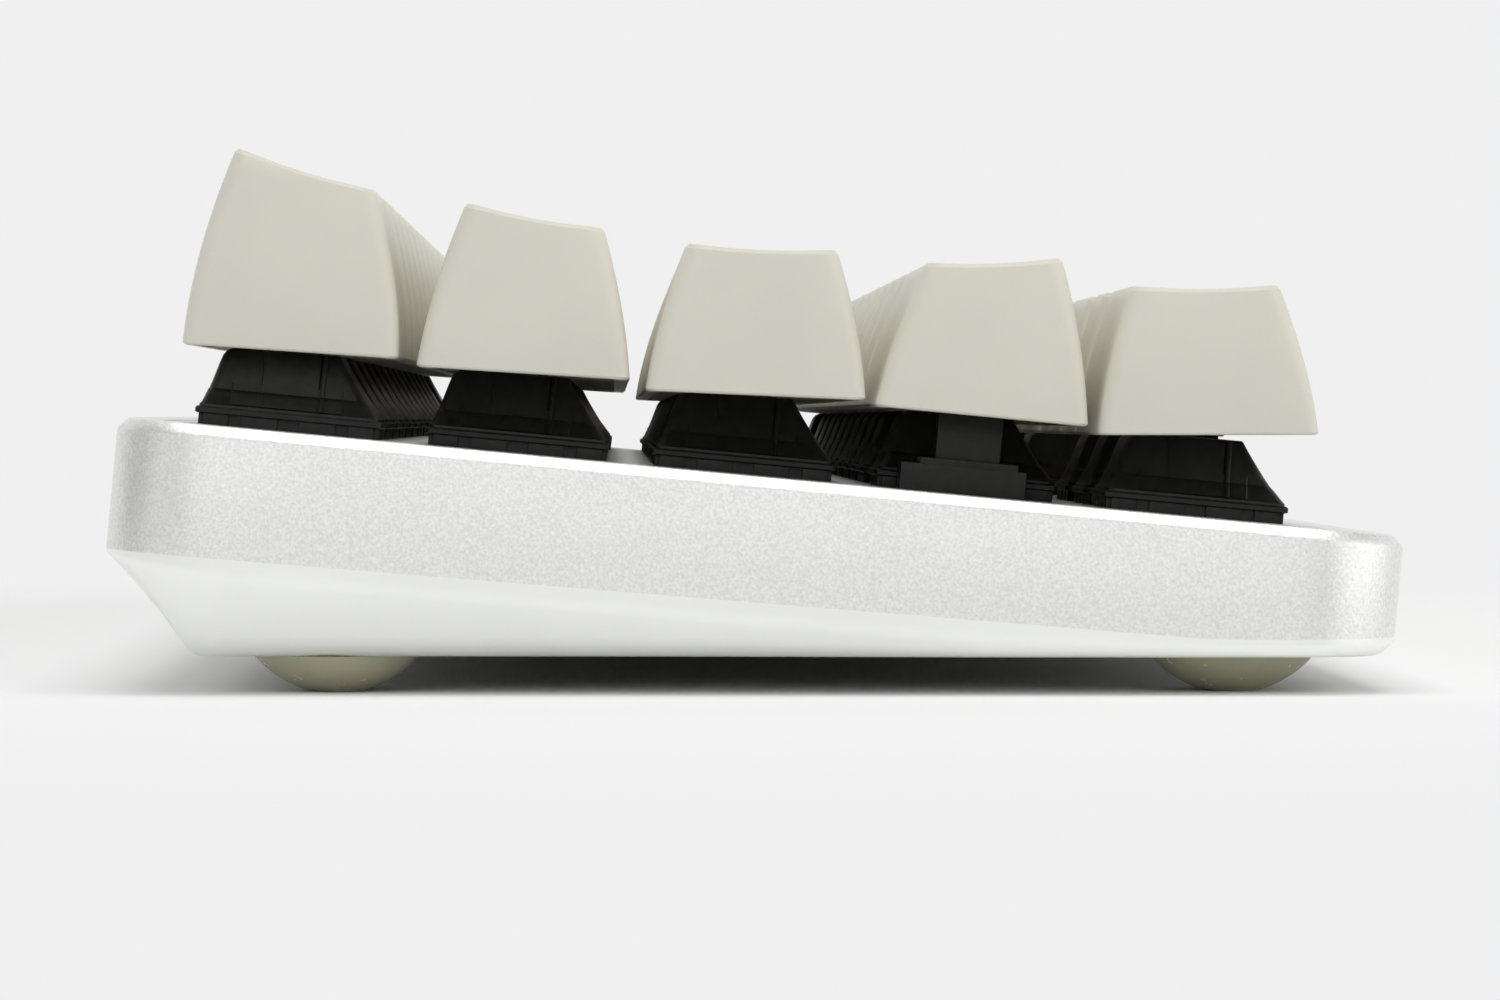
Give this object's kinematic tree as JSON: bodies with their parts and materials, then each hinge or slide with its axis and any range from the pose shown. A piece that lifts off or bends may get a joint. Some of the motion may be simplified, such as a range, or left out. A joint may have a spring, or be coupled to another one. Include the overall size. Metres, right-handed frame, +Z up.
{
  "type": "compact mechanical keyboard",
  "caption": "Compact desktop keyboard: tall blank keycaps on sprung plunger switches, standing clear of a sloping metal case on dome feet.",
  "frame": {"origin": "on the desk, under the middle of the case", "axes": "+X along the key rows to the user's right, +Y to the back, +Z up"},
  "size_m": [0.296, 0.1082, 0.0454],
  "materials": {
    "case_metal": "bead blasted, clear anodised",
    "shell": "smooth satin anodised",
    "plate": "blasted, clear anodised",
    "board": "solder mask",
    "socket": "plain",
    "screw": "plain",
    "feet": "translucent soft polyurethane",
    "switch": "moulded",
    "spring": "plain",
    "contact": "plain",
    "keycap": "fine matt moulded"
  },
  "bodies": {
    "case": {"bottom_shell": "shell", "case_screws": "screw", "circuit_board": "board", "rubber_feet": "feet", "stabiliser_housings": "switch", "switch_bottom_housings": "switch", "switch_contacts": "contact", "switch_plate": "plate", "switch_springs": "spring", "switch_top_housings": "switch", "upper_frame": "case_metal", "usb_socket": "socket"},
    "key_r1_01": {"key_r1_01": "keycap"},
    "key_r1_02": {"key_r1_02": "keycap"},
    "key_r1_03": {"key_r1_03": "keycap"},
    "key_r1_04": {"key_r1_04": "keycap"},
    "key_r1_05": {"key_r1_05": "keycap"},
    "key_r1_06_07": {"key_r1_06_07": "keycap"},
    "key_r1_08_09": {"key_r1_08_09": "keycap"},
    "key_r1_10_11": {"key_r1_10_11": "keycap"},
    "key_r1_12": {"key_r1_12": "keycap"},
    "key_r1_13": {"key_r1_13": "keycap"},
    "key_r1_14": {"key_r1_14": "keycap"},
    "key_r2_01": {"key_r2_01": "keycap"},
    "key_r2_02": {"key_r2_02": "keycap"},
    "key_r2_03": {"key_r2_03": "keycap"},
    "key_r2_04": {"key_r2_04": "keycap"},
    "key_r2_05": {"key_r2_05": "keycap"},
    "key_r2_06_07": {"key_r2_06_07": "keycap"},
    "key_r2_08_09": {"key_r2_08_09": "keycap"},
    "key_r2_10_11": {"key_r2_10_11": "keycap"},
    "key_r2_12": {"key_r2_12": "keycap"},
    "key_r2_13": {"key_r2_13": "keycap"},
    "key_r2_14": {"key_r2_14": "keycap"},
    "key_r3_01": {"key_r3_01": "keycap"},
    "key_r3_02": {"key_r3_02": "keycap"},
    "key_r3_03": {"key_r3_03": "keycap"},
    "key_r3_04": {"key_r3_04": "keycap"},
    "key_r3_05_06": {"key_r3_05_06": "keycap"},
    "key_r3_07_08": {"key_r3_07_08": "keycap"},
    "key_r3_09_10": {"key_r3_09_10": "keycap"},
    "key_r3_11": {"key_r3_11": "keycap"},
    "key_r3_12": {"key_r3_12": "keycap"},
    "key_r3_13": {"key_r3_13": "keycap"},
    "key_r4_01": {"key_r4_01": "keycap"},
    "key_r4_02": {"key_r4_02": "keycap"},
    "key_r4_03": {"key_r4_03": "keycap"},
    "key_r4_04": {"key_r4_04": "keycap"},
    "key_r4_05_06": {"key_r4_05_06": "keycap"},
    "key_r4_07_08": {"key_r4_07_08": "keycap"},
    "key_r4_09_10": {"key_r4_09_10": "keycap"},
    "key_r4_11": {"key_r4_11": "keycap"},
    "key_r4_12": {"key_r4_12": "keycap"},
    "key_r5_01": {"key_r5_01": "keycap"},
    "key_r5_02": {"key_r5_02": "keycap"},
    "key_r5_03": {"key_r5_03": "keycap"},
    "key_r5_04": {"key_r5_04": "keycap"},
    "key_r5_05": {"key_r5_05": "keycap"},
    "key_r5_06": {"key_r5_06": "keycap"},
    "key_r5_07": {"key_r5_07": "keycap"}
  },
  "joints": [
    {"name": "press_r1_01", "type": "slide", "parent": "case", "child": "key_r1_01", "axis": [0, 0.0932, -0.9956], "range_m": [0, 0.004], "stiffness_N_per_m": 75, "springref_m": -0.004, "deforming": ["switch_springs"]},
    {"name": "press_r1_02", "type": "slide", "parent": "case", "child": "key_r1_02", "axis": [0, 0.0932, -0.9956], "range_m": [0, 0.004], "stiffness_N_per_m": 75, "springref_m": -0.004},
    {"name": "press_r1_03", "type": "slide", "parent": "case", "child": "key_r1_03", "axis": [0, 0.0932, -0.9956], "range_m": [0, 0.004], "stiffness_N_per_m": 75, "springref_m": -0.004},
    {"name": "press_r1_04", "type": "slide", "parent": "case", "child": "key_r1_04", "axis": [0, 0.0932, -0.9956], "range_m": [0, 0.004], "stiffness_N_per_m": 75, "springref_m": -0.004},
    {"name": "press_r1_05", "type": "slide", "parent": "case", "child": "key_r1_05", "axis": [0, 0.0932, -0.9956], "range_m": [0, 0.004], "stiffness_N_per_m": 75, "springref_m": -0.004},
    {"name": "press_r1_06_07", "type": "slide", "parent": "case", "child": "key_r1_06_07", "axis": [0, 0.0932, -0.9956], "range_m": [0, 0.004], "stiffness_N_per_m": 75, "springref_m": -0.004},
    {"name": "press_r1_08_09", "type": "slide", "parent": "case", "child": "key_r1_08_09", "axis": [0, 0.0932, -0.9956], "range_m": [0, 0.004], "stiffness_N_per_m": 75, "springref_m": -0.004},
    {"name": "press_r1_10_11", "type": "slide", "parent": "case", "child": "key_r1_10_11", "axis": [0, 0.0932, -0.9956], "range_m": [0, 0.004], "stiffness_N_per_m": 75, "springref_m": -0.004},
    {"name": "press_r1_12", "type": "slide", "parent": "case", "child": "key_r1_12", "axis": [0, 0.0932, -0.9956], "range_m": [0, 0.004], "stiffness_N_per_m": 75, "springref_m": -0.004},
    {"name": "press_r1_13", "type": "slide", "parent": "case", "child": "key_r1_13", "axis": [0, 0.0932, -0.9956], "range_m": [0, 0.004], "stiffness_N_per_m": 75, "springref_m": -0.004},
    {"name": "press_r1_14", "type": "slide", "parent": "case", "child": "key_r1_14", "axis": [0, 0.0932, -0.9956], "range_m": [0, 0.004], "stiffness_N_per_m": 75, "springref_m": -0.004},
    {"name": "press_r2_01", "type": "slide", "parent": "case", "child": "key_r2_01", "axis": [0, 0.0932, -0.9956], "range_m": [0, 0.004], "stiffness_N_per_m": 75, "springref_m": -0.004},
    {"name": "press_r2_02", "type": "slide", "parent": "case", "child": "key_r2_02", "axis": [0, 0.0932, -0.9956], "range_m": [0, 0.004], "stiffness_N_per_m": 75, "springref_m": -0.004},
    {"name": "press_r2_03", "type": "slide", "parent": "case", "child": "key_r2_03", "axis": [0, 0.0932, -0.9956], "range_m": [0, 0.004], "stiffness_N_per_m": 75, "springref_m": -0.004},
    {"name": "press_r2_04", "type": "slide", "parent": "case", "child": "key_r2_04", "axis": [0, 0.0932, -0.9956], "range_m": [0, 0.004], "stiffness_N_per_m": 75, "springref_m": -0.004},
    {"name": "press_r2_05", "type": "slide", "parent": "case", "child": "key_r2_05", "axis": [0, 0.0932, -0.9956], "range_m": [0, 0.004], "stiffness_N_per_m": 75, "springref_m": -0.004},
    {"name": "press_r2_06_07", "type": "slide", "parent": "case", "child": "key_r2_06_07", "axis": [0, 0.0932, -0.9956], "range_m": [0, 0.004], "stiffness_N_per_m": 75, "springref_m": -0.004},
    {"name": "press_r2_08_09", "type": "slide", "parent": "case", "child": "key_r2_08_09", "axis": [0, 0.0932, -0.9956], "range_m": [0, 0.004], "stiffness_N_per_m": 75, "springref_m": -0.004},
    {"name": "press_r2_10_11", "type": "slide", "parent": "case", "child": "key_r2_10_11", "axis": [0, 0.0932, -0.9956], "range_m": [0, 0.004], "stiffness_N_per_m": 75, "springref_m": -0.004},
    {"name": "press_r2_12", "type": "slide", "parent": "case", "child": "key_r2_12", "axis": [0, 0.0932, -0.9956], "range_m": [0, 0.004], "stiffness_N_per_m": 75, "springref_m": -0.004},
    {"name": "press_r2_13", "type": "slide", "parent": "case", "child": "key_r2_13", "axis": [0, 0.0932, -0.9956], "range_m": [0, 0.004], "stiffness_N_per_m": 75, "springref_m": -0.004},
    {"name": "press_r2_14", "type": "slide", "parent": "case", "child": "key_r2_14", "axis": [0, 0.0932, -0.9956], "range_m": [0, 0.004], "stiffness_N_per_m": 75, "springref_m": -0.004},
    {"name": "press_r3_01", "type": "slide", "parent": "case", "child": "key_r3_01", "axis": [0, 0.0932, -0.9956], "range_m": [0, 0.004], "stiffness_N_per_m": 75, "springref_m": -0.004},
    {"name": "press_r3_02", "type": "slide", "parent": "case", "child": "key_r3_02", "axis": [0, 0.0932, -0.9956], "range_m": [0, 0.004], "stiffness_N_per_m": 75, "springref_m": -0.004},
    {"name": "press_r3_03", "type": "slide", "parent": "case", "child": "key_r3_03", "axis": [0, 0.0932, -0.9956], "range_m": [0, 0.004], "stiffness_N_per_m": 75, "springref_m": -0.004},
    {"name": "press_r3_04", "type": "slide", "parent": "case", "child": "key_r3_04", "axis": [0, 0.0932, -0.9956], "range_m": [0, 0.004], "stiffness_N_per_m": 75, "springref_m": -0.004},
    {"name": "press_r3_05_06", "type": "slide", "parent": "case", "child": "key_r3_05_06", "axis": [0, 0.0932, -0.9956], "range_m": [0, 0.004], "stiffness_N_per_m": 75, "springref_m": -0.004},
    {"name": "press_r3_07_08", "type": "slide", "parent": "case", "child": "key_r3_07_08", "axis": [0, 0.0932, -0.9956], "range_m": [0, 0.004], "stiffness_N_per_m": 75, "springref_m": -0.004},
    {"name": "press_r3_09_10", "type": "slide", "parent": "case", "child": "key_r3_09_10", "axis": [0, 0.0932, -0.9956], "range_m": [0, 0.004], "stiffness_N_per_m": 75, "springref_m": -0.004},
    {"name": "press_r3_11", "type": "slide", "parent": "case", "child": "key_r3_11", "axis": [0, 0.0932, -0.9956], "range_m": [0, 0.004], "stiffness_N_per_m": 75, "springref_m": -0.004},
    {"name": "press_r3_12", "type": "slide", "parent": "case", "child": "key_r3_12", "axis": [0, 0.0932, -0.9956], "range_m": [0, 0.004], "stiffness_N_per_m": 75, "springref_m": -0.004},
    {"name": "press_r3_13", "type": "slide", "parent": "case", "child": "key_r3_13", "axis": [0, 0.0932, -0.9956], "range_m": [0, 0.004], "stiffness_N_per_m": 75, "springref_m": -0.004},
    {"name": "press_r4_01", "type": "slide", "parent": "case", "child": "key_r4_01", "axis": [0, 0.0932, -0.9956], "range_m": [0, 0.004], "stiffness_N_per_m": 75, "springref_m": -0.004},
    {"name": "press_r4_02", "type": "slide", "parent": "case", "child": "key_r4_02", "axis": [0, 0.0932, -0.9956], "range_m": [0, 0.004], "stiffness_N_per_m": 75, "springref_m": -0.004},
    {"name": "press_r4_03", "type": "slide", "parent": "case", "child": "key_r4_03", "axis": [0, 0.0932, -0.9956], "range_m": [0, 0.004], "stiffness_N_per_m": 75, "springref_m": -0.004},
    {"name": "press_r4_04", "type": "slide", "parent": "case", "child": "key_r4_04", "axis": [0, 0.0932, -0.9956], "range_m": [0, 0.004], "stiffness_N_per_m": 75, "springref_m": -0.004},
    {"name": "press_r4_05_06", "type": "slide", "parent": "case", "child": "key_r4_05_06", "axis": [0, 0.0932, -0.9956], "range_m": [0, 0.004], "stiffness_N_per_m": 75, "springref_m": -0.004},
    {"name": "press_r4_07_08", "type": "slide", "parent": "case", "child": "key_r4_07_08", "axis": [0, 0.0932, -0.9956], "range_m": [0, 0.004], "stiffness_N_per_m": 75, "springref_m": -0.004},
    {"name": "press_r4_09_10", "type": "slide", "parent": "case", "child": "key_r4_09_10", "axis": [0, 0.0932, -0.9956], "range_m": [0, 0.004], "stiffness_N_per_m": 75, "springref_m": -0.004},
    {"name": "press_r4_11", "type": "slide", "parent": "case", "child": "key_r4_11", "axis": [0, 0.0932, -0.9956], "range_m": [0, 0.004], "stiffness_N_per_m": 75, "springref_m": -0.004},
    {"name": "press_r4_12", "type": "slide", "parent": "case", "child": "key_r4_12", "axis": [0, 0.0932, -0.9956], "range_m": [0, 0.004], "stiffness_N_per_m": 75, "springref_m": -0.004},
    {"name": "press_r5_01", "type": "slide", "parent": "case", "child": "key_r5_01", "axis": [0, 0.0932, -0.9956], "range_m": [0, 0.004], "stiffness_N_per_m": 75, "springref_m": -0.004},
    {"name": "press_r5_02", "type": "slide", "parent": "case", "child": "key_r5_02", "axis": [0, 0.0932, -0.9956], "range_m": [0, 0.004], "stiffness_N_per_m": 75, "springref_m": -0.004},
    {"name": "press_r5_03", "type": "slide", "parent": "case", "child": "key_r5_03", "axis": [0, 0.0932, -0.9956], "range_m": [0, 0.004], "stiffness_N_per_m": 75, "springref_m": -0.004},
    {"name": "press_r5_04", "type": "slide", "parent": "case", "child": "key_r5_04", "axis": [0, 0.0932, -0.9956], "range_m": [0, 0.004], "stiffness_N_per_m": 75, "springref_m": -0.004},
    {"name": "press_r5_05", "type": "slide", "parent": "case", "child": "key_r5_05", "axis": [0, 0.0932, -0.9956], "range_m": [0, 0.004], "stiffness_N_per_m": 75, "springref_m": -0.004},
    {"name": "press_r5_06", "type": "slide", "parent": "case", "child": "key_r5_06", "axis": [0, 0.0932, -0.9956], "range_m": [0, 0.004], "stiffness_N_per_m": 75, "springref_m": -0.004},
    {"name": "press_r5_07", "type": "slide", "parent": "case", "child": "key_r5_07", "axis": [0, 0.0932, -0.9956], "range_m": [0, 0.004], "stiffness_N_per_m": 75, "springref_m": -0.004}
  ]
}
